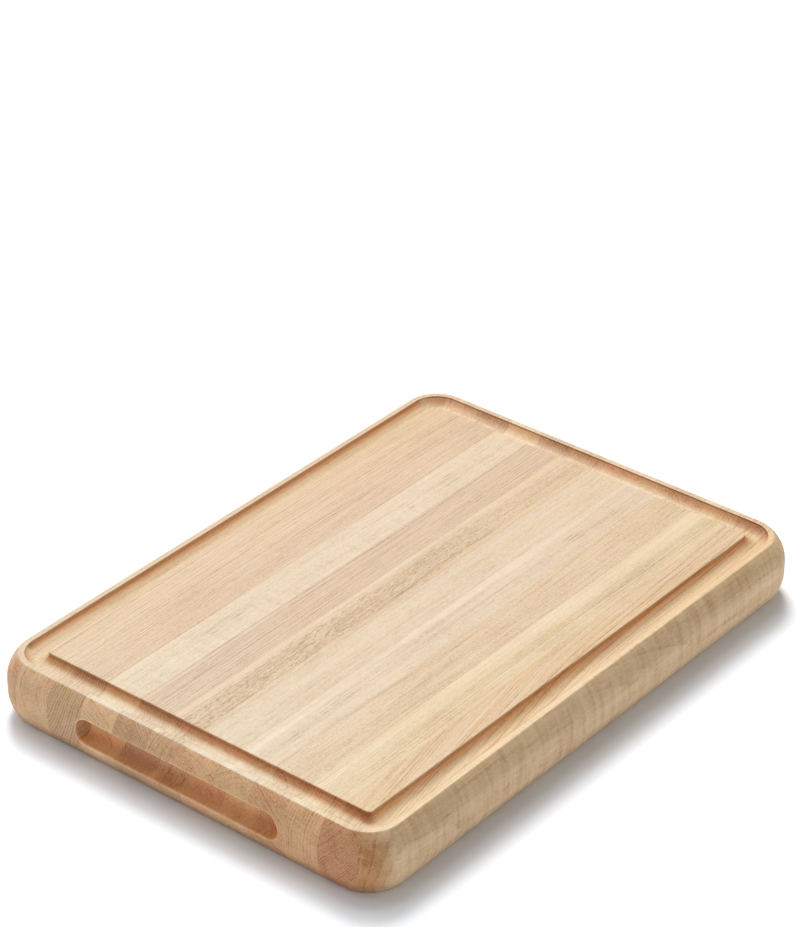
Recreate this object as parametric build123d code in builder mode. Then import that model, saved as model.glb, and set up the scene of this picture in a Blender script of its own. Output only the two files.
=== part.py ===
from build123d import *
import os
from math import sqrt

# Edge-grain butcher-block cutting board: solid maple staves glued edge to edge, then machined as one
# blank (rounded outline, bowed sides, juice groove, finger grips at both ends).
# X runs across the staves, Y along them, Z up. The origin is the centre of the flat underside.
# All dimensions are in millimetres.

# ---- outline -------------------------------------------------------------------------------------
board_width = 317.5          # across the staves (12 1/2 in)
board_length = 444.5         # along the staves (17 1/2 in)
board_thickness = 45.0
corner_radius = 30.75        # plan radius at mid thickness

# ---- bowed sides: a 1 in radius round-over run from both faces, short of full depth ---------------
bow_radius = 25.4
bow_inset = 8.1              # how far the side draws in at the top and bottom faces
arris_radius = 0.8           # sanded edge where the bow meets the flat faces

# ---- juice groove: a 5/8 in core-box cutter run 1/4 in deep ---------------------------------------
groove_cutter_radius = 7.94
groove_depth = 6.35
groove_outer_offset = 12.0   # outermost side to the groove's outer lip
groove_lip_radius = 0.45     # sanded lips of the groove

# ---- finger grips: a round-nosed slot milled into each short end ----------------------------------
grip_length = 165.0
grip_height = 18.5
grip_depth = 12.7
grip_top_margin = 12.5       # top face to the slot's upper lip
grip_lip_radius = 0.8        # sanded lips of the slot

# ---- staves ---------------------------------------------------------------------------------------
stave_pitch = 27.5
first_joint_x = -133.7       # glue joint between the first and second stave
joint_count = 11
glue_thickness = 0.15        # cured glue film

# ---- derived --------------------------------------------------------------------------------------
half_band = board_thickness / 2 - sqrt(bow_radius**2 - (bow_radius - bow_inset) ** 2)
tall = 2 * (half_band + bow_radius)
groove_centre_z = board_thickness - groove_depth + groove_cutter_radius
groove_half_width = sqrt(groove_cutter_radius**2 - (groove_cutter_radius - groove_depth) ** 2)
groove_line_offset = groove_outer_offset + groove_half_width
groove_path_radius = corner_radius - groove_line_offset
path_width = board_width - 2 * groove_line_offset
path_length = board_length - 2 * groove_line_offset
grip_radius = grip_height / 2
grip_z = board_thickness - grip_top_margin - grip_radius
grip_nose_y = board_length / 2 - grip_depth + grip_radius     # centre of the cutter's round nose
grip_half_run = grip_length / 2 - grip_radius                 # cutter travel either side of centre
joint_x = [first_joint_x + i * stave_pitch for i in range(joint_count)]

# ---- the machined blank, before it is divided into its staves -------------------------------------
with BuildPart() as blank:
    with BuildSketch(Plane.XY.offset(board_thickness / 2 - tall / 2)):
        RectangleRounded(board_width, board_length, corner_radius)
    extrude(amount=tall)
    # round-overs, taller than the board, so that the flat faces cut them short
    fillet(blank.faces().sort_by(Axis.Z)[-1].edges() + blank.faces().sort_by(Axis.Z)[0].edges(), bow_radius)
    split(bisect_by=Plane.XY.offset(board_thickness), keep=Keep.BOTTOM)
    split(bisect_by=Plane.XY, keep=Keep.TOP)
    fillet(blank.faces().sort_by(Axis.Z)[-1].edges() + blank.faces().sort_by(Axis.Z)[0].edges(), arris_radius)

    # juice groove: a round cutter carried once round a rounded rectangle
    with BuildSketch(Plane.XY.offset(groove_centre_z), mode=Mode.PRIVATE) as groove_line:
        RectangleRounded(path_width, path_length, groove_path_radius)
    groove_path = groove_line.sketch.wires()[0]
    with BuildSketch(Plane(origin=groove_path @ 0, z_dir=groove_path % 0)):
        Circle(groove_cutter_radius)
    sweep(path=groove_path, mode=Mode.SUBTRACT)
    groove_lips = blank.faces().filter_by(Plane.XY).filter_by_position(
        Axis.Z, board_thickness - 0.01, board_thickness + 0.01
    ).edges().filter_by(
        lambda e: abs(e.center().X) < board_width / 2 - groove_outer_offset + 0.5
        and abs(e.center().Y) < board_length / 2 - groove_outer_offset + 0.5
    )
    fillet(groove_lips, groove_lip_radius)

    # finger grips: straight-walled mouth, then the half-round floor left by the cutter's nose
    for side in (-1, 1):
        with BuildSketch(Plane(origin=(0, side * grip_nose_y, grip_z), x_dir=(1, 0, 0), z_dir=(0, side, 0))):
            SlotOverall(grip_length, grip_height)
        extrude(amount=grip_depth, mode=Mode.SUBTRACT)
        with Locations((0, side * grip_nose_y, grip_z)):
            Cylinder(grip_radius, 2 * grip_half_run, rotation=(0, 90, 0), mode=Mode.SUBTRACT)
        with Locations((-grip_half_run, side * grip_nose_y, grip_z), (grip_half_run, side * grip_nose_y, grip_z)):
            Sphere(grip_radius, mode=Mode.SUBTRACT)
    grip_lips = blank.edges().filter_by(
        lambda e: abs(e.center().Y) > board_length / 2 - 1.5
        and abs(e.center().X) < grip_length / 2 + 0.2
        and abs(e.center().Z - grip_z) < grip_radius + 0.2
    )
    fillet(grip_lips, grip_lip_radius)

# ---- staves: the blank between two glue joints ----------------------------------------------------
for i in range(joint_count + 1):
    with BuildPart() as stave:
        add(blank.part)
        if i > 0:
            split(bisect_by=Plane.YZ.offset(joint_x[i - 1] + glue_thickness / 2), keep=Keep.TOP)
        if i < joint_count:
            split(bisect_by=Plane.YZ.offset(joint_x[i] - glue_thickness / 2), keep=Keep.BOTTOM)
    stave.part.label = f"stave_{i + 1:02d}"
    export_step(stave.part, f"parts/{stave.part.label}.step")

# ---- cured glue between the staves, machined flush with them --------------------------------------
for i in range(joint_count):
    with BuildPart() as glue_line:
        add(blank.part)
        split(bisect_by=Plane.YZ.offset(joint_x[i] - glue_thickness / 2), keep=Keep.TOP)
        split(bisect_by=Plane.YZ.offset(joint_x[i] + glue_thickness / 2), keep=Keep.BOTTOM)
    glue_line.part.label = f"glue_line_{i + 1:02d}"
    export_step(glue_line.part, f"parts/{glue_line.part.label}.step")
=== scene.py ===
import math

import bpy
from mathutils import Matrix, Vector

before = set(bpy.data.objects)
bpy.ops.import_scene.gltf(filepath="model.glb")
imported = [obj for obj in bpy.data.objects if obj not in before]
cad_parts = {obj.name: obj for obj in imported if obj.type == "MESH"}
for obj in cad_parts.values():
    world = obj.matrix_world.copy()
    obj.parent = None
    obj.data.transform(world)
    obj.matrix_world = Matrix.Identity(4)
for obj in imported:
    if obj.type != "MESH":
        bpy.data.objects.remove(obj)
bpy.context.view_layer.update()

# Edge-grain maple cutting board. X across the staves, Y along them, Z up, millimetres below unless a name says
# otherwise. Every stave keeps its CAD shape and gets its own plank of procedural maple: growth rings round that
# plank's own pith line, long fibres along Y, pores and rays on the end grain, flecks, curl and mineral streaks.


# ---- node helpers ---------------------------------------------------------------------------------
class Tree:
    def __init__(self, name):
        self.mat = bpy.data.materials.new(name)
        self.mat.use_nodes = True
        self.nt = self.mat.node_tree
        self.nt.nodes.clear()

    def node(self, kind, **props):
        n = self.nt.nodes.new(kind)
        for k, v in props.items():
            setattr(n, k, v)
        return n

    def put(self, socket, value):
        if isinstance(value, bpy.types.NodeSocket):
            self.nt.links.new(value, socket)
        elif isinstance(value, (tuple, list)) and len(value) == 3 and socket.type == "RGBA":
            socket.default_value = (*value, 1.0)
        else:
            socket.default_value = value

    def math(self, op, a, b=None, c=None, clamp=False):
        n = self.node("ShaderNodeMath", operation=op, use_clamp=clamp)
        for i, v in enumerate((a, b, c)):
            if v is not None:
                self.put(n.inputs[i], v)
        return n.outputs[0]

    def add(self, *terms):
        out = terms[0]
        for t in terms[1:]:
            out = self.math("ADD", out, t)
        return out

    def mul(self, a, b, clamp=False):
        return self.math("MULTIPLY", a, b, clamp=clamp)

    def vec(self, op, a, b=None):
        n = self.node("ShaderNodeVectorMath", operation=op)
        self.put(n.inputs[0], a)
        if b is not None:
            self.put(n.inputs[1], b)
        return n.outputs[0]

    def stretched(self, p, sx, sy, sz, shift=(0.0, 0.0, 0.0)):
        n = self.node("ShaderNodeVectorMath", operation="MULTIPLY_ADD")
        self.put(n.inputs[0], p)
        n.inputs[1].default_value = (1.0 / sx, 1.0 / sy, 1.0 / sz)
        n.inputs[2].default_value = shift
        return n.outputs[0]

    def noise(self, p, detail=2.0, rough=0.5, scale=1.0, distortion=0.0, colour=False):
        n = self.node("ShaderNodeTexNoise", noise_dimensions="3D")
        self.put(n.inputs["Vector"], p)
        n.inputs["Scale"].default_value = scale
        n.inputs["Detail"].default_value = detail
        n.inputs["Roughness"].default_value = rough
        n.inputs["Distortion"].default_value = distortion
        return n.outputs["Color" if colour else "Fac"]

    def noise1(self, w, detail=1.0):
        n = self.node("ShaderNodeTexNoise", noise_dimensions="1D")
        self.put(n.inputs["W"], w)
        n.inputs["Scale"].default_value = 1.0
        n.inputs["Detail"].default_value = detail
        return n.outputs["Fac"]

    def step(self, value, lo, hi, to_lo=0.0, to_hi=1.0):
        n = self.node("ShaderNodeMapRange", interpolation_type="SMOOTHSTEP")
        self.put(n.inputs[0], value)
        for i, v in zip((1, 2, 3, 4), (lo, hi, to_lo, to_hi)):
            n.inputs[i].default_value = v
        return n.outputs[0]

    def span(self, value, lo, hi, to_lo=0.0, to_hi=1.0):
        n = self.node("ShaderNodeMapRange", interpolation_type="LINEAR")
        self.put(n.inputs[0], value)
        for i, v in zip((1, 2, 3, 4), (lo, hi, to_lo, to_hi)):
            n.inputs[i].default_value = v
        return n.outputs[0]

    def ramp(self, fac, stops, interpolation="LINEAR"):
        n = self.node("ShaderNodeValToRGB")
        n.color_ramp.interpolation = interpolation
        e = n.color_ramp.elements
        while len(e) < len(stops):
            e.new(0.5)
        for el, (pos, col) in zip(e, stops):
            el.position = pos
            el.color = (*col, 1.0) if isinstance(col, (tuple, list)) else (col, col, col, 1.0)
        self.put(n.inputs[0], fac)
        return n.outputs["Color"]

    def mix(self, fac, a, b, blend="MIX"):
        n = self.node("ShaderNodeMix", data_type="RGBA", blend_type=blend)
        self.put(n.inputs[0], fac)
        self.put(n.inputs[6], a)
        self.put(n.inputs[7], b)
        return n.outputs[2]


def scaled(c, k):
    k = k if isinstance(k, (tuple, list)) else (k, k, k)
    return tuple(min(1.0, v * f) for v, f in zip(c, k))


# ---- maple ----------------------------------------------------------------------------------------
def maple(name, seed, face, end, pith, pitch, slope=(0.0, 0.0), warp=2.2, ring=0.20, ring_end=0.40, sharp=0.90,
          fibre=0.30, streak=0.22, blotch=0.16, grain=0.26, curl=0.0, curl_at=None, hue=(1.0, 0.95, 0.88),
          hue_amount=0.5, bands=(), ticks=0.0, tick_at=None, flake=None, mineral=0.0, ray=0.40, pores=1.3,
          end_patch=0.55, jitter=2.6, checks=(), lines=0.62, arc=0.40,
          side=None, smudge=None, lean=None, grip=(1.0, 1.0, 1.0)):
    """One plank of maple. face and end are its mean tones along and across the grain, pith the (x, z) of the tree's
    centre in millimetres, pitch the ring spacing, slope how far the pith line leans in x and z per millimetre of y."""
    t = Tree(name)
    tex = t.node("ShaderNodeTexCoord")
    p = t.vec("MULTIPLY", tex.outputs["Object"], (1000.0, 1000.0, 1000.0))
    sep = t.node("ShaderNodeSeparateXYZ")
    t.put(sep.inputs[0], p)
    x, y, z = sep.outputs[0], sep.outputs[1], sep.outputs[2]
    s = seed * 17.3
    gx = x
    if lean is not None:
        # the grain runs out sideways from the y given
        turn_in = t.math("SMOOTH_MAX", t.add(t.mul(y, -1.0), lean[1]), 0.0, 60.0)
        gx = t.add(x, t.mul(turn_in, -lean[0]))
        run_out = t.node("ShaderNodeCombineXYZ")
        for i, v in enumerate((gx, y, z)):
            t.put(run_out.inputs[i], v)
        p = run_out.outputs[0]

    # slow wander of the grain, then rings round the pith line
    wander = t.vec("SUBTRACT", t.noise(t.stretched(p, 48, 210, 48, (s, s * 0.7, -s)), 1.0, 0.5, colour=True), (0.5, 0.5, 0.5))
    ripple = t.vec("SUBTRACT", t.noise(t.stretched(p, 6, 48, 6, (-s, s, s * 0.3)), 1.0, 0.5, colour=True), (0.5, 0.5, 0.5))
    shift = t.vec("ADD", t.vec("MULTIPLY", wander, (warp * 4.0, 0.0, warp * 4.0)), t.vec("MULTIPLY", ripple, (0.9, 0.0, 0.9)))
    w = t.node("ShaderNodeSeparateXYZ")
    t.put(w.inputs[0], shift)
    dx = t.add(gx, w.outputs[0], -pith[0], t.mul(y, -slope[0]))
    dz = t.add(z, w.outputs[2], -pith[1], t.mul(y, -slope[1]))
    d = t.math("SQRT", t.add(t.mul(dx, dx), t.mul(dz, dz)))
    turn = t.add(t.math("DIVIDE", d, pitch), t.mul(t.noise1(t.math("DIVIDE", d, pitch * 3.3), 1.0), jitter), seed * 0.37)
    fract = t.math("FRACT", turn)
    year = t.noise1(t.add(t.mul(t.math("FLOOR", turn), 0.73), seed * 3.1), 0.0)
    late = t.ramp(fract, [(0.0, 0.10), (0.12, 0.0), (0.50, 0.14), (sharp - 0.14, 0.42), (sharp, 1.0), (0.985, 0.9), (1.0, 0.10)])
    rings = t.mul(late, t.step(year, 0.30, 0.72, 0.50, 1.0))

    # long fibres, wider streaks, slow blotches, and short marks that break up the lines
    fine = t.span(t.noise(t.stretched(p, 0.80, 58, 0.80, (s, -s, s)), 2.0, 0.6), 0.28, 0.72, -0.5, 0.5)
    hair = t.span(t.noise(t.stretched(p, 0.55, 9, 0.55, (s, s, -s)), 1.0, 0.6), 0.28, 0.72, -0.5, 0.5)
    broad = t.span(t.noise(t.stretched(p, 2.6, 170, 2.6, (-s, s, 0.4 * s)), 2.0, 0.55), 0.28, 0.72, -0.5, 0.5)
    cloud = t.span(t.noise(t.stretched(p, 15, 70, 15, (s * 0.3, s, -s)), 2.0, 0.5), 0.28, 0.72, -0.5, 0.5)
    grit = t.span(t.noise(t.stretched(p, 0.95, 1.9, 0.95, (s, s, s)), 1.0, 0.6), 0.28, 0.72, -0.5, 0.5)

    shade = t.add(
        0.5 + ring * 0.28,
        t.mul(fine, -fibre * 1.1),
        t.mul(hair, -fibre * 0.8),
        t.mul(broad, -streak * 0.75),
        t.mul(cloud, -blotch),
        t.mul(grit, -grain),
        t.mul(rings, -ring),
    )
    if curl:
        across = t.span(t.noise(t.stretched(p, 30, 3.8, 34, (s, 0.0, s)), 2.0, 0.55, distortion=0.5), 0.28, 0.72, -0.5, 0.5)
        ripple_on = t.mul(across, -curl)
        if curl_at is not None:
            axis, lo, hi = curl_at
            ripple_on = t.mul(ripple_on, t.step({"x": x, "y": y, "z": z}[axis], lo, hi))
        shade = t.add(shade, ripple_on)
    for centre, lean, half, soft, depth in bands:
        where = t.add(x, t.mul(y, -lean), t.mul(w.outputs[0], 0.25), -centre)
        shade = t.add(shade, t.mul(t.step(t.math("ABSOLUTE", where), half, half + soft, 1.0, 0.0), depth))

    def tones(m, dark, deep):
        return [(0.0, scaled(m, deep)), (0.25, scaled(m, dark)), (0.5, m), (0.75, scaled(m, (1.09, 1.12, 1.17))), (1.0, scaled(m, (1.17, 1.24, 1.36)))]

    along = t.ramp(shade, tones(face, (0.85, 0.80, 0.74), (0.62, 0.52, 0.42)))
    drift = t.noise(t.stretched(p, 7, 240, 7, (s * 1.3, s, -s)), 1.0, 0.5)
    along = t.mix(t.step(drift, 0.40, 0.62, 0.0, hue_amount), along, t.mix(1.0, along, hue, "MULTIPLY"))

    # end grain: rings as arcs, pores as dots, rays crossing the rings
    angle = t.math("ARCTAN2", dz, dx)
    rays = t.span(t.noise1(t.add(t.mul(angle, 190.0), seed), 1.0), 0.25, 0.75, -0.5, 0.5)
    pore = t.span(t.noise(t.stretched(p, 0.95, 7, 0.95, (-s, s, -s)), 2.0, 0.7), 0.28, 0.72, -0.5, 0.5)
    patch = t.span(t.noise(t.stretched(p, 9, 30, 9, (s, -s, s * 0.2)), 2.0, 0.5), 0.28, 0.72, -0.5, 0.5)
    arcs = t.span(t.noise1(t.add(t.math("DIVIDE", d, lines), t.mul(hair, 0.8), seed * 5.0), 1.0), 0.25, 0.75, -0.5, 0.5)
    broken = t.span(t.noise(t.stretched(p, 3.4, 12, 3.4, (s, s * 0.5, s)), 1.0, 0.5), 0.35, 0.65, 0.25, 1.0)
    cross_shade = t.add(0.5 + ring_end * 0.24, t.mul(rings, -ring_end), t.mul(rays, -ray), t.mul(t.mul(arcs, broken), -arc), t.mul(pore, -pores * 0.5), t.mul(patch, -end_patch * 0.55))
    across_grain = t.ramp(cross_shade, tones(end, (0.84, 0.77, 0.70), (0.56, 0.45, 0.36)))
    hues = t.noise(t.stretched(p, 14, 40, 14, (-s, s * 0.4, s * 2.0)), 1.0, 0.5)
    across_grain = t.mix(t.step(hues, 0.50, 0.66), across_grain, t.mix(1.0, across_grain, (1.02, 0.965, 0.965), "MULTIPLY"))
    across_grain = t.mix(t.step(hues, 0.50, 0.34), across_grain, t.mix(1.0, across_grain, (0.985, 0.995, 0.93), "MULTIPLY"))
    # painted shade: the end grain darker towards the foot
    foot_painted_shade = t.step(z, 12.5, 5.5)
    across_grain = t.mix(foot_painted_shade, across_grain, t.mix(1.0, across_grain, (0.86, 0.79, 0.75), "MULTIPLY"))
    nrm = t.node("ShaderNodeSeparateXYZ")
    t.put(nrm.inputs[0], tex.outputs["Normal"])
    ends = t.step(t.math("ABSOLUTE", nrm.outputs[1]), 0.22, 0.80)
    colour = t.mix(ends, along, across_grain)

    # ray flake: a ragged band crowded with short dark dashes
    if flake is not None:
        centre, half, soft, front, back, strength = flake
        dash = t.noise(t.stretched(p, 0.52, 3.4, 0.52, (s, s * 2.0, s)), 1.0, 0.6)
        run = t.noise(t.stretched(p, 0.62, 26, 0.62, (s * 2.0, s * 2.0, s)), 1.0, 0.5)
        ragged = t.noise(t.stretched(p, 2.2, 9, 2.2, (s, s, -s)), 1.0, 0.5)
        off = t.math("ABSOLUTE", t.add(x, t.mul(w.outputs[0], 0.3), -centre))
        inside = t.step(t.add(off, t.mul(t.math("SUBTRACT", ragged, 0.5), 9.0)), half, half + soft, 1.0, 0.0)
        inside = t.mul(inside, t.step(y, front, back, 1.0, 0.40))
        inside = t.mul(inside, t.math("SUBTRACT", 1.0, t.mul(ends, 0.75)))
        marks = t.math("MAXIMUM", t.step(dash, 0.50, 0.66), t.mul(t.step(run, 0.55, 0.66), 0.9))
        colour = t.mix(t.mul(inside, 0.6 * strength), colour, t.mix(1.0, colour, (0.92, 0.90, 0.86), "MULTIPLY"))
        colour = t.mix(t.mul(t.mul(inside, marks), strength), colour, t.mix(1.0, colour, (0.62, 0.54, 0.45), "MULTIPLY"))

    # single thin dark ticks along the grain
    if ticks:
        lick = t.noise(t.stretched(p, 0.55, 24, 0.55, (s * 2.0, s, s)), 0.0, 0.5)
        rare = t.noise(t.stretched(p, 5.5, 30, 5.5, (s, s * 3.0, s)), 0.0, 0.5)
        mask = t.mul(t.step(lick, 0.66, 0.76), t.step(rare, 0.54, 0.66))
        if tick_at is not None:
            lo, hi = tick_at
            mask = t.mul(mask, t.step(t.math("ABSOLUTE", t.add(x, -(lo + hi) / 2)), (hi - lo) / 2, (hi - lo) / 2 + 2.5, 1.0, 0.0))
        mask = t.mul(mask, t.math("SUBTRACT", 1.0, ends))
        colour = t.mix(t.mul(mask, ticks), colour, t.mix(1.0, colour, (0.50, 0.40, 0.30), "MULTIPLY"))

    # mineral streaks: few, long, grey-brown, climbing a little along the long side
    if mineral:
        tilt = t.node("ShaderNodeCombineXYZ")
        t.put(tilt.inputs[0], t.math("DIVIDE", x, 6.0))
        t.put(tilt.inputs[1], t.math("DIVIDE", t.add(y, s), 17.0))
        t.put(tilt.inputs[2], t.math("DIVIDE", t.add(z, t.mul(y, -0.14)), 0.95))
        vein = t.noise(tilt.outputs[0], 1.0, 0.5)
        where = t.noise(t.stretched(p, 30, 34, 10, (s, -s * 2.0, s)), 0.0, 0.5)
        mask = t.mul(t.step(vein, 0.675, 0.745), t.step(where, 0.53, 0.62))
        mask = t.mul(mask, t.mul(t.math("SUBTRACT", 1.0, ends), t.mul(t.step(x, 151.0, 154.0), t.step(z, 42.0, 40.0))))
        colour = t.mix(t.mul(mask, mineral), colour, t.mix(1.0, colour, (0.42, 0.32, 0.23), "MULTIPLY"))

    # fitted to the photograph, painted light and shade: the top a little paler towards the near end and a little
    # yellower towards the far end, and the rim paler at the near right
    colour = t.mix(t.step(y, -40.0, -215.0), colour, t.mix(1.0, colour, (1.01, 1.04, 1.06), "MULTIPLY"))
    colour = t.mix(t.step(y, 20.0, 215.0), colour, t.mix(1.0, colour, (1.0, 0.985, 0.955), "MULTIPLY"))
    ax, ay = t.math("ABSOLUTE", x), t.math("ABSOLUTE", y)
    rim_painted_light = t.step(t.add(t.mul(x, 1.0 / 317.5), t.mul(y, -1.0 / 444.5)), -0.20, 0.45)
    ox, oy = t.math("MAXIMUM", t.add(ax, -128.0), 0.0), t.math("MAXIMUM", t.add(ay, -191.5), 0.0)
    reach = t.math("SQRT", t.add(t.mul(ox, ox), t.mul(oy, oy)))      # 18.75 along the groove's outer lip
    rim_top = t.mul(t.step(z, 44.2, 44.7), t.step(reach, 18.5, 19.0))
    colour = t.mix(t.mul(rim_top, rim_painted_light), colour, t.mix(1.0, colour, (1.03, 1.09, 1.12), "MULTIPLY"))

    # fitted to the photograph: the groove's walls that face +X or -Y and the walls of the finger grips are browner than
    # the top, and the groove's four runs differ. Part of that is the photograph's own shade, held here in the base colour
    # by object normal and place, so it stays when the light moves.
    nx, ny = nrm.outputs[0], nrm.outputs[1]
    in_groove = t.mul(t.step(z, 44.6, 43.9), t.mul(t.step(reach, 19.3, 18.6), t.step(z, 37.0, 38.0)))
    near_end = t.step(y, -190.0, -196.0)
    painted_shade_facing = t.add(t.mul(nx, 0.707), t.mul(ny, -0.707), t.mul(near_end, 0.10), t.mul(t.step(x, 127.0, 133.0), 0.06))
    colour = t.mix(in_groove, colour, t.mix(1.0, colour, GROOVE_TONE, "MULTIPLY"))
    far_end, left_run = t.step(y, 190.0, 196.0), t.step(x, -127.0, -133.0)
    # painted light: the left run's walls that face +X are paler
    colour = t.mix(t.mul(t.mul(in_groove, left_run), t.step(nx, 0.30, 0.62)), colour, t.mix(1.0, colour, (1.26, 1.24, 1.22), "MULTIPLY"))
    # painted light: the far run's walls that face -Y are paler and cooler
    colour = t.mix(t.mul(t.mul(in_groove, far_end), t.step(ny, -0.40, -0.70)), colour, t.mix(1.0, colour, (1.04, 1.14, 1.30), "MULTIPLY"))
    # painted shade: the walls that face +X or -Y are browner, less so on the far run; darker again on the near run,
    # partly the end grain's own tone and partly painted shade
    wall = t.mul(t.mul(in_groove, t.step(painted_shade_facing, 0.40, 0.58)), t.add(1.0, t.mul(far_end, -0.75)))
    colour = t.mix(wall, colour, t.mix(1.0, colour, WALL_PAINTED_SHADE, "MULTIPLY"))
    colour = t.mix(t.mul(wall, near_end), colour, t.mix(1.0, colour, (0.76, 0.82, 0.88), "MULTIPLY"))
    # painted shade: a dark band just under the lips of those walls, darker on the far run
    low = t.add(z, t.mul(far_end, -1.9))
    painted_shade_under_lip = t.mul(t.mul(in_groove, t.step(painted_shade_facing, 0.50, 0.62)), t.step(low, 41.8, 43.0))
    colour = t.mix(painted_shade_under_lip, colour, t.mix(1.0, colour, (0.80, 0.70, 0.62), "MULTIPLY"))
    colour = t.mix(t.mul(painted_shade_under_lip, far_end), colour, t.mix(1.0, colour, (0.62, 0.55, 0.50), "MULTIPLY"))
    # painted shade: a thin dark line under the outer lip of the far and left runs
    painted_shade_lip_line = t.mul(t.step(reach, 19.3, 18.6), t.mul(t.step(z, 44.998, 44.96), t.step(z, 43.6, 44.6)))
    colour = t.mix(t.mul(t.mul(painted_shade_lip_line, far_end), t.step(ny, -0.35, -0.65)), colour, t.mix(1.0, colour, (0.58, 0.47, 0.38), "MULTIPLY"))
    colour = t.mix(t.mul(t.mul(painted_shade_lip_line, left_run), t.step(nx, 0.35, 0.65)), colour, t.mix(1.0, colour, (0.90, 0.68, 0.53), "MULTIPLY"))
    over = t.math("MAXIMUM", t.add(ax, -73.25), 0.0)
    up = t.add(z, -23.25)
    slot = t.math("SQRT", t.add(t.mul(over, over), t.mul(up, up)))      # 9.25 at the slot's wall
    slot_wall = t.mul(t.step(slot, 10.3, 9.7), t.step(ay, 208.9, 209.2))
    # painted shade: the floor of the finger grips behind the mouth browner
    foot_wall_painted_shade = t.mul(t.mul(slot_wall, t.step(ay, 221.5, 220.2)), t.mul(t.step(ay, 212.2, 215.4), t.step(z, 19.0, 16.0)))
    colour = t.mix(foot_wall_painted_shade, colour, t.mix(1.0, colour, (1.05, 0.83, 0.62), "MULTIPLY"))
    # painted light: the back wall of the finger grips paler above its foot
    deep_wall_painted_light = t.mul(t.mul(slot_wall, t.step(ay, 213.0, 210.6)), t.step(z, 15.8, 20.0))
    colour = t.mix(deep_wall_painted_light, colour, t.mix(1.0, colour, (1.06, 1.20, 1.30), "MULTIPLY"))
    # painted light: the floor of the finger grips at the mouth paler
    mouth_painted_light = t.mul(slot_wall, t.mul(t.mul(t.step(ay, 221.7, 220.6), t.step(ay, 214.5, 219.5)), t.step(z, 19.0, 16.0)))
    colour = t.mix(mouth_painted_light, colour, t.mix(1.0, colour, (1.26, 1.09, 1.0), "MULTIPLY"))
    # painted shade: the inside of the finger grips browner and darker
    in_grip = t.mul(slot_wall, t.step(ay, 219.5, 212.5))
    colour = t.mix(in_grip, colour, t.mix(1.0, colour, tuple(a * b for a, b in zip(GRIP_PAINTED_SHADE, grip)), "MULTIPLY"))
    # painted shade: the end walls of the finger grips browner
    cap_painted_shade = t.mul(t.mul(slot_wall, t.step(ax, 73.5, 78.5)), t.mul(t.step(ay, 221.8, 220.6), t.math("SUBTRACT", 1.0, t.mul(in_grip, 0.8))))
    colour = t.mix(cap_painted_shade, colour, t.mix(1.0, colour, (1.04, 0.85, 0.70), "MULTIPLY"))
    if side is not None:
        # the outer stave's long face: painted shade along its shoulder, painted shade towards the near end and painted
        # light towards the far end, with slow bars across it
        on_side = t.mul(t.step(nx, 0.20, 0.68), t.mul(t.step(x, 146.5, 151.5), t.step(ay, 214.0, 196.0)))
        colour = t.mix(t.mul(on_side, t.step(t.add(z, t.mul(w.outputs[2], 0.5)), 22.0, 37.0)), colour, t.mix(1.0, colour, side, "MULTIPLY"))
        colour = t.mix(t.mul(on_side, t.step(y, -60.0, -205.0)), colour, t.mix(1.0, colour, (0.96, 0.93, 0.90), "MULTIPLY"))
        colour = t.mix(t.mul(on_side, t.step(y, 60.0, 205.0)), colour, t.mix(1.0, colour, (1.03, 1.05, 1.05), "MULTIPLY"))
        bars = t.noise(t.stretched(p, 40, 6.5, 55, (s, 0.0, -s)), 1.0, 0.5, distortion=0.3)
        colour = t.mix(t.mul(on_side, t.step(bars, 0.52, 0.70)), colour, t.mix(1.0, colour, (0.90, 0.88, 0.84), "MULTIPLY"))
    if smudge is not None:
        # brown stain on the rounded end
        px, pz, rx, rz, depth = smudge
        cloudy = t.noise(t.stretched(p, 3.5, 12, 2.6, (s, s, s)), 2.0, 0.6)
        ex, ez = t.mul(t.add(x, -px), 1.0 / rx), t.mul(t.add(z, -pz), 1.0 / rz)
        spot = t.add(t.math("SQRT", t.add(t.mul(ex, ex), t.mul(ez, ez))), t.mul(t.math("SUBTRACT", cloudy, 0.5), 2.6))
        spot = t.mul(t.step(spot, 1.15, 0.45), t.step(y, -188.0, -200.0))
        colour = t.mix(t.mul(spot, depth), colour, t.mix(1.0, colour, (0.74, 0.62, 0.50), "MULTIPLY"))
    # short tear-outs left by the cutter along the floor of the front grip
    for at, deep in checks:
        line = t.step(t.math("ABSOLUTE", t.add(x, t.mul(w.outputs[0], 0.4), t.mul(hair, 0.5), -at)), 0.42, 0.16)
        line = t.mul(t.mul(line, in_grip), t.mul(t.step(y, deep + 1.5, deep - 1.5), t.step(z, 20.0, 17.0)))
        colour = t.mix(t.mul(line, 0.85), colour, t.mix(1.0, colour, (0.36, 0.27, 0.20), "MULTIPLY"))
    # painted highlight: the lips are paler round the groove, along the top arris and round the finger grips
    lip = t.mul(t.step(z, 44.15, 44.5), t.step(z, 44.97, 44.9))
    grip_lip_highlight = t.mul(t.step(t.math("ABSOLUTE", t.add(slot, -9.65)), 0.95, 0.45), t.step(ay, 220.0, 220.6))
    colour = t.mix(lip, colour, t.mix(1.0, colour, (1.06, 1.08, 1.10), "MULTIPLY"))
    colour = t.mix(grip_lip_highlight, colour, t.mix(1.0, colour, (1.22, 1.24, 1.22), "MULTIPLY"))

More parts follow.
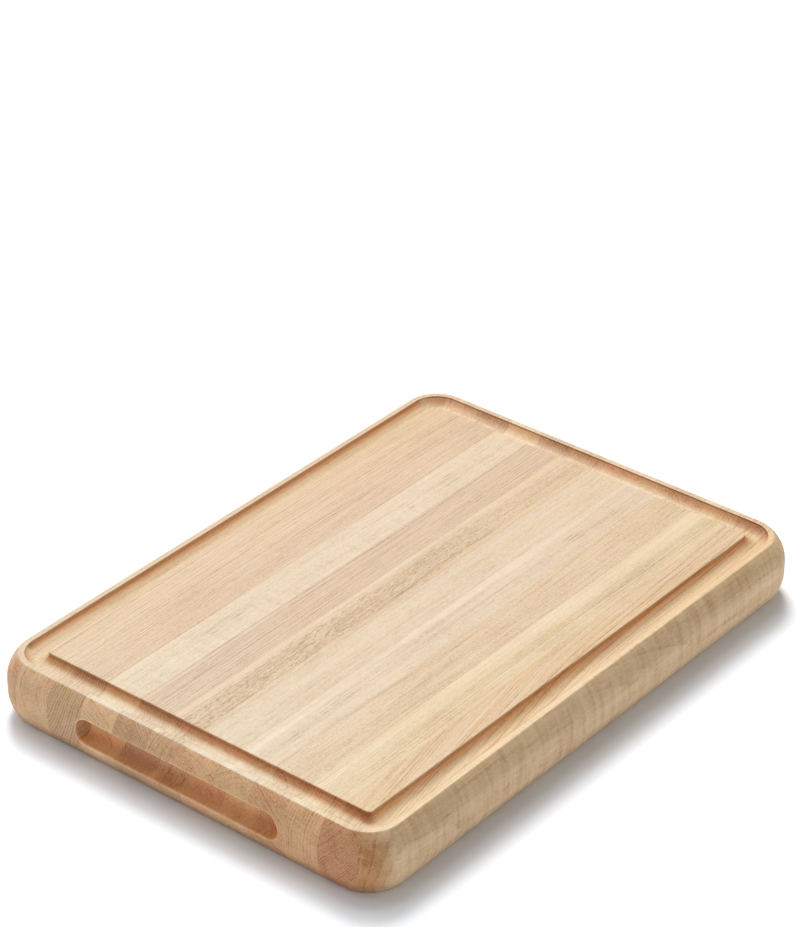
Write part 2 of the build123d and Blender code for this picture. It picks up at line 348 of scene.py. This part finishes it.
    rough = t.add(
        0.52,
        t.mul(broad, 0.10),
        t.mul(grit, 0.08),
        t.mul(ends, 0.07),
        t.mul(rings, 0.04),
    )
    height = t.add(t.mul(fine, 0.30), t.mul(hair, 0.25), t.mul(grit, 0.25), t.mul(rings, -0.25), t.mul(t.mul(pore, ends), 0.4))
    bump = t.node("ShaderNodeBump")
    bump.inputs["Strength"].default_value = 0.4
    bump.inputs["Distance"].default_value = 0.00012
    t.put(bump.inputs["Height"], height)

    bsdf = t.node("ShaderNodeBsdfPrincipled")
    bsdf.inputs["IOR"].default_value = 1.45
    bsdf.inputs["Specular IOR Level"].default_value = 0.38
    t.put(bsdf.inputs["Base Color"], colour)
    t.put(bsdf.inputs["Roughness"], rough)
    t.put(bsdf.inputs["Normal"], bump.outputs[0])
    out = t.node("ShaderNodeOutputMaterial")
    t.put(out.inputs["Surface"], bsdf.outputs[0])
    return t.mat


GROOVE_TONE = (1.02, 1.02, 0.98)
# painted shade tint for the groove's walls that face +X or -Y
WALL_PAINTED_SHADE = (1.15, 0.88, 0.73)
# painted shade tint for the inside of the finger grips
GRIP_PAINTED_SHADE = (1.05, 0.79, 0.64)

# mean tones along the grain and on the end grain, linear
PLANKS = {
    1: dict(face=(0.524, 0.391, 0.258), end=(0.518, 0.300, 0.159),
        pith=(-200, 34), pitch=2.1, ring=0.22, ring_end=0.30, hue=(1.0, 0.94, 0.88), end_patch=0.9),
    2: dict(face=(0.534, 0.391, 0.259), end=(0.575, 0.363, 0.199),
        pith=(-72, 40), pitch=2.2, ring=0.42, ring_end=0.40, fibre=0.38, streak=0.20, hue=(0.98, 0.93, 0.84), hue_amount=0.7, jitter=1.6, arc=0.5),
    3: dict(face=(0.519, 0.378, 0.249), end=(0.503, 0.302, 0.169),
        pith=(-148, 47), pitch=1.9, ring=0.46, ring_end=0.62, fibre=0.38, streak=0.10, warp=1.2, hue=(0.99, 0.92, 0.88), jitter=0.9, sharp=0.84, grip=(1.0, 0.95, 0.90)),
    4: dict(face=(0.561, 0.445, 0.315), end=(0.621, 0.391, 0.218),
        pith=(-94, -40), pitch=2.5, ring=0.12, ring_end=0.20, ray=0.20, fibre=0.18, streak=0.16, curl=0.18, curl_at=("x", -72.0, -62.0), ticks=0.85, tick_at=(-68, -58), hue=(1.0, 0.97, 0.92), arc=0.3, grip=(1.0, 0.95, 0.88)),
    5: dict(face=(0.499, 0.366, 0.246), end=(0.501, 0.293, 0.160),
        pith=(-80, -20), pitch=1.25, ring=0.46, ring_end=0.45, fibre=0.42, streak=0.16, warp=1.0, hue=(0.98, 0.92, 0.88), jitter=1.4, arc=0.7, lines=0.8, grip=(0.93, 0.90, 0.93)),
    6: dict(face=(0.553, 0.418, 0.280), end=(0.549, 0.326, 0.176),
        pith=(50, 20), pitch=2.4, ring=0.20, ring_end=0.30, fibre=0.26, streak=0.20, bands=((-21.0, 0.0, 2.0, 3.5, 0.10), (3.2, 0.0, 0.4, 0.5, -0.10)), flake=(-8.5, 6.0, 7.0, 20.0, 160.0, 0.9), hue=(0.98, 0.94, 0.84), checks=((-9.0, -215.4), (-0.5, -211.0)), pores=1.6, arc=0.3, grip=(1.02, 1.06, 1.06)),
    7: dict(face=(0.551, 0.427, 0.299), end=(0.599, 0.341, 0.180),
        pith=(-14, -58), pitch=2.3, ring=0.12, ring_end=0.26, fibre=0.20, streak=0.14, blotch=0.16, ticks=0.4, hue=(1.0, 0.98, 0.89), checks=((5.5, -216.5),)),
    8: dict(face=(0.551, 0.431, 0.303), end=(0.581, 0.349, 0.178),
        pith=(88, -52), pitch=2.1, ring=0.14, ring_end=0.30, fibre=0.24, streak=0.20, bands=((34.2, -0.012, 1.4, 4.2, 0.17), (47.0, 0.0, 1.0, 3.0, -0.06)), ticks=0.8, tick_at=(40, 49), curl=0.10, hue=(1.0, 0.95, 0.90), grip=(1.07, 1.13, 1.08)),
    9: dict(face=(0.536, 0.400, 0.258), end=(0.535, 0.297, 0.149),
        pith=(26, -46), pitch=1.7, ring=0.18, ring_end=0.30, fibre=0.32, streak=0.18, blotch=0.22, grain=0.42, ticks=0.5, hue=(0.98, 0.93, 0.87), pores=1.6, ray=0.28, arc=0.4, grip=(1.04, 1.06, 1.04)),
    10: dict(face=(0.558, 0.427, 0.274), end=(0.577, 0.330, 0.168),
        pith=(215, 24), pitch=2.1, ring=0.34, ring_end=0.42, fibre=0.26, streak=0.22, blotch=0.24, warp=1.6, bands=((90.5, 0.0, 2.0, 6.0, 0.14), (104.0, 0.0, 3.0, 4.0, -0.08)), hue=(0.99, 0.95, 0.82), hue_amount=0.7, jitter=1.2),
    11: dict(face=(0.547, 0.395, 0.248), end=(0.475, 0.228, 0.111),
        pith=(-11, 120), pitch=2.9, slope=(-0.02, 0.05), ring=0.38, ring_end=0.30, fibre=0.28, streak=0.22, warp=2.4, sharp=0.80, hue=(1.0, 0.93, 0.80), hue_amount=0.7, arc=0.7, end_patch=0.8, lean=(0.15, 10.0)),
    12: dict(face=(0.613, 0.428, 0.255), end=(0.479, 0.242, 0.100),
        pith=(62, 30), pitch=3.0, slope=(0.05, 0.03), ring=0.18, ring_end=0.40, fibre=0.24, streak=0.16, warp=3.0, curl=0.34, curl_at=("x", 146.0, 152.0), mineral=0.9, hue=(0.97, 0.95, 0.88), side=(0.85, 0.83, 0.79), smudge=(148.0, 33.0, 7.5, 7.0, 0.65), end_patch=0.9),
}

made = {k: maple(f"maple_plank_{k:02d}", k, **spec) for k, spec in PLANKS.items()}


def glue(name):
    """Cured wood glue, a thin tan film with some dust in it. Its colour is a guess."""
    t = Tree(name)
    tex = t.node("ShaderNodeTexCoord")
    p = t.vec("MULTIPLY", tex.outputs["Object"], (1000.0, 1000.0, 1000.0))
    dust = t.noise(t.stretched(p, 1.5, 6.0, 1.5), 3.0, 0.6)
    run = t.noise(t.stretched(p, 5.0, 60.0, 5.0, (3.0, 1.0, 2.0)), 2.0, 0.5)
    tone = t.add(t.mul(dust, 0.6), t.mul(run, 0.4))
    colour = t.ramp(tone, [(0.30, (0.30, 0.19, 0.10)), (0.5, (0.42, 0.29, 0.17)), (0.7, (0.52, 0.38, 0.25))])
    bump = t.node("ShaderNodeBump")
    bump.inputs["Strength"].default_value = 0.25
    bump.inputs["Distance"].default_value = 0.00005
    t.put(bump.inputs["Height"], dust)
    bsdf = t.node("ShaderNodeBsdfPrincipled")
    bsdf.inputs["IOR"].default_value = 1.48
    bsdf.inputs["Specular IOR Level"].default_value = 0.4
    t.put(bsdf.inputs["Base Color"], colour)
    t.put(bsdf.inputs["Roughness"], t.span(dust, 0.3, 0.7, 0.38, 0.58))
    t.put(bsdf.inputs["Normal"], bump.outputs[0])
    out = t.node("ShaderNodeOutputMaterial")
    t.put(out.inputs["Surface"], bsdf.outputs[0])
    return t.mat


glue_mat = glue("wood_glue_film")
for name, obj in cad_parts.items():
    new = made[int(name[-2:])] if name.startswith("stave_") else glue_mat
    for slot in obj.material_slots:
        slot.material = new

# ---- floor ----------------------------------------------------------------------------------------
floor_mesh = bpy.data.meshes.new("studio_floor")
R = 14.0
floor_mesh.from_pydata([(-R, -R, 0), (R, -R, 0), (R, R, 0), (-R, R, 0)], [], [(0, 1, 2, 3)])
floor = bpy.data.objects.new("studio_floor", floor_mesh)
floor.location.z = -0.00015
bpy.context.scene.collection.objects.link(floor)
ft = Tree("studio_paper")
fb = ft.node("ShaderNodeBsdfPrincipled")
fb.inputs["Base Color"].default_value = (0.875, 0.905, 0.94, 1.0)
fb.inputs["Roughness"].default_value = 0.9
fb.inputs["Specular IOR Level"].default_value = 0.1
fo = ft.node("ShaderNodeOutputMaterial")
ft.put(fo.inputs["Surface"], fb.outputs[0])
floor_mesh.materials.append(ft.mat)

# ---- light ----------------------------------------------------------------------------------------
scene = bpy.context.scene
world = bpy.data.worlds.new("studio")
world.use_nodes = True
world.node_tree.nodes["Background"].inputs[0].default_value = (1.0, 1.0, 1.0, 1.0)
world.node_tree.nodes["Background"].inputs[1].default_value = 0.30
scene.world = world


def softbox(name, azimuth, elevation, size, watts, distance=2.2):
    """A round soft light that faces the board. azimuth is measured from -Y towards +X, as the camera's is."""
    a, e = math.radians(azimuth), math.radians(elevation)
    d = Vector((math.sin(a) * math.cos(e), -math.cos(a) * math.cos(e), math.sin(e)))
    data = bpy.data.lights.new(name, "AREA")
    data.shape = "DISK"
    data.size = size
    data.energy = watts
    obj = bpy.data.objects.new(name, data)
    obj.location = d * distance
    obj.rotation_euler = d.to_track_quat("Z", "Y").to_euler()
    scene.collection.objects.link(obj)
    return obj


softbox("key_back_left", 225.0, 55.5, 1.60, 154.5, 4.5)
softbox("key_high", 225.0, 75.0, 1.65, 46.0, 4.5)
softbox("fill_left", 270.0, 55.0, 1.0, 7.5)
softbox("fill_front_left", 315.0, 50.0, 1.0, 5.0)
softbox("low_front", 345.0, 12.0, 1.0, 6.5)
softbox("low_right", 90.0, 12.0, 1.0, 9.0)

# ---- camera ---------------------------------------------------------------------------------------
cam_az, cam_el = math.radians(39.23), math.radians(31.52)
back = Vector((math.sin(cam_az) * math.cos(cam_el), -math.cos(cam_az) * math.cos(cam_el), math.sin(cam_el)))
cam_data = bpy.data.cameras.new("camera")
cam_data.sensor_fit = "VERTICAL"
cam_data.sensor_width = 36.0
cam_data.sensor_height = 36.0
cam_data.lens = 3440.0 / 927.0 * 36.0
cam_data.clip_start = 0.05
cam_data.clip_end = 60.0
camera = bpy.data.objects.new("camera", cam_data)
camera.location = (1.162206, -1.429689, 1.271411)
camera.rotation_euler = back.to_track_quat("Z", "Y").to_euler()
scene.collection.objects.link(camera)
scene.camera = camera

scene.view_settings.view_transform = "Standard"
scene.view_settings.look = "None"
scene.view_settings.exposure = 0.0
scene.view_settings.gamma = 1.0
